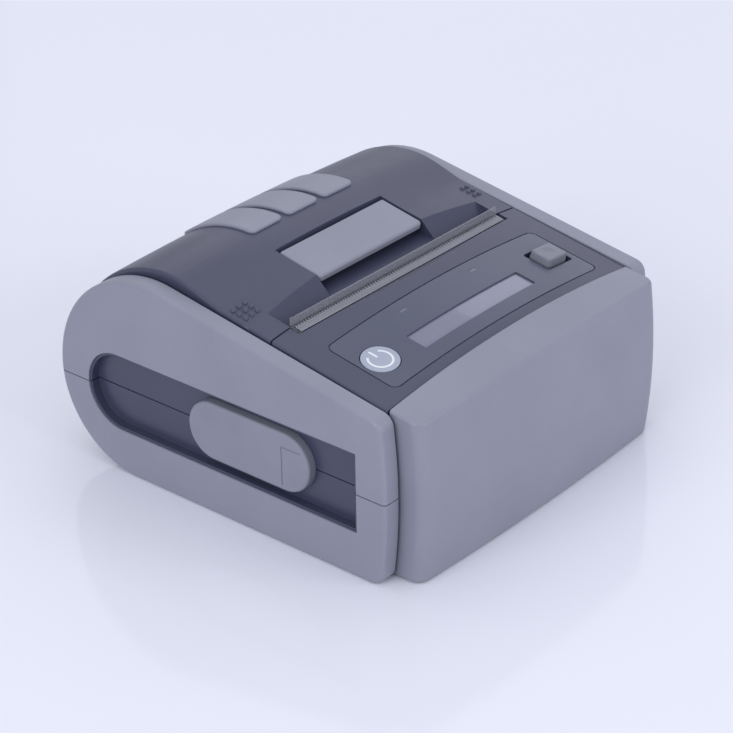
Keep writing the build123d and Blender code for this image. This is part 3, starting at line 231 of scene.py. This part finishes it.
def circuit_board(name):
    """Solder mask with faint copper tracks under it."""
    n = Nodes(name)
    brick = n.add("ShaderNodeTexBrick")
    brick.inputs["Scale"].default_value = 260
    brick.inputs["Mortar Size"].default_value = 0.04
    brick.inputs["Color1"].default_value = (*board_green, 1)
    brick.inputs["Color2"].default_value = (*board_green_light, 1)
    brick.inputs["Mortar"].default_value = (*track_green, 1)
    n.link(n.coords, brick.inputs["Vector"])
    n.link(brick.outputs["Color"], n.shader.inputs["Base Color"])
    n.link(n.span(n.noise(300), 0.3, 0.42), n.shader.inputs["Roughness"])
    n.bump(brick.outputs["Fac"], 0.3, 0.02)
    return n.material


def clear_plastic(name, tint, alpha, rough=0.08):
    """Clear moulding, drawn as a thin tinted skin so that what lies behind shows."""
    n = Nodes(name)
    haze = n.noise(420, detail=4)
    n.link(n.ramp(haze, shade(tint, 0.92), tint), n.shader.inputs["Base Color"])
    n.link(n.span(haze, rough, rough + 0.1), n.shader.inputs["Roughness"])
    n.shader.inputs["Alpha"].default_value = alpha
    n.shader.inputs["IOR"].default_value = 1.49
    n.bump(haze, 0.1, 0.01, 0.15)
    return n.material


def display_glass():
    """The switched-off display: a pale film behind glass, with faint character cells."""
    n = Nodes("display_glass")
    brick = n.add("ShaderNodeTexBrick", offset=0.0)
    brick.inputs["Scale"].default_value = 95
    brick.inputs["Mortar Size"].default_value = 0.025
    brick.inputs["Brick Width"].default_value = 0.27
    brick.inputs["Row Height"].default_value = 0.31
    brick.inputs["Color1"].default_value = (*display_cell, 1)
    brick.inputs["Color2"].default_value = (*display_cell_light, 1)
    brick.inputs["Mortar"].default_value = (*display_gap, 1)
    n.link(n.coords, brick.inputs["Vector"])
    n.link(brick.outputs["Color"], n.shader.inputs["Base Color"])
    n.link(n.span(n.noise(90), 0.1, 0.16), n.shader.inputs["Roughness"])
    n.bump(n.noise(700), 0.04, 0.01)
    n.shader.inputs["Coat Weight"].default_value = 0.8
    n.shader.inputs["Coat Roughness"].default_value = 0.03
    return n.material


def make_materials():
    """One finish for each material slot of the record."""
    return {
        "light_plastic": moulded_plastic("light_plastic", light_grey, rough=0.4, grain=0.3),
        "dark_plastic": moulded_plastic(
            "dark_plastic", dark_grey, rough=0.34, grain=0.3, spread=0.06, gloss=0.55
        ),
        "cap_rubber": soft_rubber("cap_rubber", rubber_grey),
        "panel_film": moulded_plastic(
            "panel_film", film_grey, rough=0.24, grain=0.04, grain_size=6800, edge=0.08
        ),
        "display_glass": display_glass(),
        "display_body": moulded_plastic("display_body", display_body_grey, rough=0.5),
        "circuit_board": circuit_board("circuit_board"),
        "chip_plastic": moulded_plastic("chip_plastic", chip_black, rough=0.5, edge=0.1),
        "key_film": moulded_plastic("key_film", key_grey, rough=0.3, grain=0.15, edge=0.15),
        "button_plastic": moulded_plastic("button_plastic", button_grey, rough=0.33, edge=0.2),
        "clear_plastic": clear_plastic("clear_plastic", guide_tint, alpha=0.32),
        "sheet_steel": satin_metal("sheet_steel", steel_grey, rough=0.4, along=sheet_grain),
        "light_lens": clear_plastic("light_lens", lens_tint, alpha=0.85),
        "platen_rubber": soft_rubber("platen_rubber", platen_black, rough=0.5),
        "gear_plastic": moulded_plastic("gear_plastic", gear_cream, rough=0.36, edge=0.08),
        "head_ceramic": moulded_plastic("head_ceramic", ceramic_tan, rough=0.18, grain=0.08),
        "aluminium": satin_metal("aluminium", aluminium_grey, rough=0.38, along=machined_grain),
        "potting": moulded_plastic("potting", potting_black, rough=0.22, grain=0.1),
        "cell_wrap": moulded_plastic("cell_wrap", cell_blue, rough=0.2, grain=0.05),
        "contact_metal": satin_metal("contact_metal", contact_gold, rough=0.22),
        "foot_rubber": soft_rubber("foot_rubber", foot_black, rough=0.7),
    }


def dress_frame(materials):
    """Gives each carried-over node the finish of its material slot."""
    slot_of = {entry["node"]: entry["material_slot"] for entry in frame["record"]["subparts"]}
    for name, thing in frame["nodes"].items():
        finish = materials[slot_of[name]]
        for slot in thing.material_slots:
            slot.link = "OBJECT"
            slot.material = finish


def link_mesh(name, mesh_builder, material, body):
    """Adds a piece that rides on a body."""
    mesh = bpy.data.meshes.new(name)
    bm = bmesh.new()
    mesh_builder(bm)
    bm.to_mesh(mesh)
    bm.free()
    piece = bpy.data.objects.new(name, mesh)
    bpy.context.scene.collection.objects.link(piece)
    mesh.materials.append(material)
    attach(piece, body)


def deck_frame(x, y, lift):
    """Returns a function that puts local points on the crowned deck at x, y, raised by lift."""
    tilt = x / crown_radius
    normal = Vector((tilt, -deck_slope, 1)).normalized()
    across = Vector((1, 0, -tilt)).normalized()
    along = normal.cross(across)
    height = deck_height + deck_slope * y - x * x / (2 * crown_radius)
    centre = Vector((x, y, height)) + normal * lift
    return lambda u, v: (centre + across * u + along * v) * MM


def ring_mark(bm, place, radius, line, gap, steps=64):
    """A flat ring left open towards the rear."""
    start = math.pi / 2 + gap
    sweep = 2 * math.pi - 2 * gap
    rows = []
    for step in range(steps + 1):
        angle = start + sweep * step / steps
        row = []
        for r in (radius - line / 2, radius + line / 2):
            row.append(bm.verts.new(place(r * math.cos(angle), r * math.sin(angle))))
        rows.append(row)
    for first, second in zip(rows, rows[1:]):
        bm.faces.new((first[0], first[1], second[1], second[0]))


def bar_mark(bm, place, width, low, high, steps=10):
    """A flat bar with round ends along the local v axis."""
    half = width / 2
    points = []
    for step in range(steps + 1):
        angle = math.pi * step / steps
        points.append((half * math.cos(angle), high - half + half * math.sin(angle)))
    for step in range(steps + 1):
        angle = math.pi + math.pi * step / steps
        points.append((half * math.cos(angle), low + half + half * math.sin(angle)))
    bm.faces.new([bm.verts.new(place(u, v)) for u, v in points])


def make_power_mark(ink):
    """The symbol on the power key: an open ring and a bar, slightly raised."""
    place = deck_frame(*key_centre, symbol_lift)

    def build(bm):
        ring_mark(bm, place, symbol_radius, symbol_line, symbol_gap)
        bar_mark(bm, place, symbol_line, *symbol_bar)
        grown = bmesh.ops.extrude_face_region(bm, geom=bm.faces[:])
        raised = [v for v in grown["geom"] if isinstance(v, bmesh.types.BMVert)]
        bmesh.ops.translate(bm, verts=raised, vec=Vector((0, 0, symbol_thickness * MM)))

    link_mesh("power_mark", build, ink, "power_switch_key")


def make_floor():
    """A pale, slightly glossy floor."""
    mesh = bpy.data.meshes.new("studio_floor")
    size = floor_half_size
    corners = [(-size, -size, 0), (size, -size, 0), (size, size, 0), (-size, size, 0)]
    mesh.from_pydata(corners, [], [(0, 1, 2, 3)])
    floor = bpy.data.objects.new("studio_floor", mesh)
    bpy.context.scene.collection.objects.link(floor)
    n = Nodes("studio_floor")
    drift = n.noise(3, detail=2)
    n.link(n.ramp(drift, floor_low, floor_high), n.shader.inputs["Base Color"])
    n.link(n.span(n.noise(12), 0.08, 0.11), n.shader.inputs["Roughness"])
    n.shader.inputs["Specular IOR Level"].default_value = 0.3
    mesh.materials.append(n.material)


def area_light(name, place, target, size, power, color):
    data = bpy.data.lights.new(name, "AREA")
    data.shape = "RECTANGLE"
    data.size, data.size_y = size
    data.energy = power
    data.color = color
    lamp = bpy.data.objects.new(name, data)
    lamp.location = place
    aim = Vector(target) - Vector(place)
    lamp.rotation_euler = aim.to_track_quat("-Z", "Y").to_euler()
    bpy.context.scene.collection.objects.link(lamp)


def make_lights():
    """Soft boxes, and a world that the camera sees a little brighter than the object does."""
    for lamp in lamps:
        area_light(*lamp)
    world = bpy.data.worlds.new("studio_world")
    world.use_nodes = True
    bpy.context.scene.world = world
    tree = world.node_tree
    shown = tree.nodes["Background"]
    shown.inputs["Color"].default_value = (*background_tone, 1)
    shown.inputs["Strength"].default_value = 1.0
    ambient = tree.nodes.new("ShaderNodeBackground")
    ambient.inputs["Color"].default_value = (*ambient_tone, 1)
    ambient.inputs["Strength"].default_value = ambient_strength
    mix = tree.nodes.new("ShaderNodeMixShader")
    path = tree.nodes.new("ShaderNodeLightPath")
    tree.links.new(path.outputs["Is Camera Ray"], mix.inputs["Fac"])
    tree.links.new(ambient.outputs["Background"], mix.inputs[1])
    tree.links.new(shown.outputs["Background"], mix.inputs[2])
    tree.links.new(mix.outputs["Shader"], tree.nodes["World Output"].inputs["Surface"])
    bpy.context.scene.view_settings.view_transform = "Standard"


make_camera()
dress_frame(make_materials())
make_power_mark(moulded_plastic("white_ink", ink_white, rough=0.35, grain=0.1, edge=0.0))
make_floor()
make_lights()
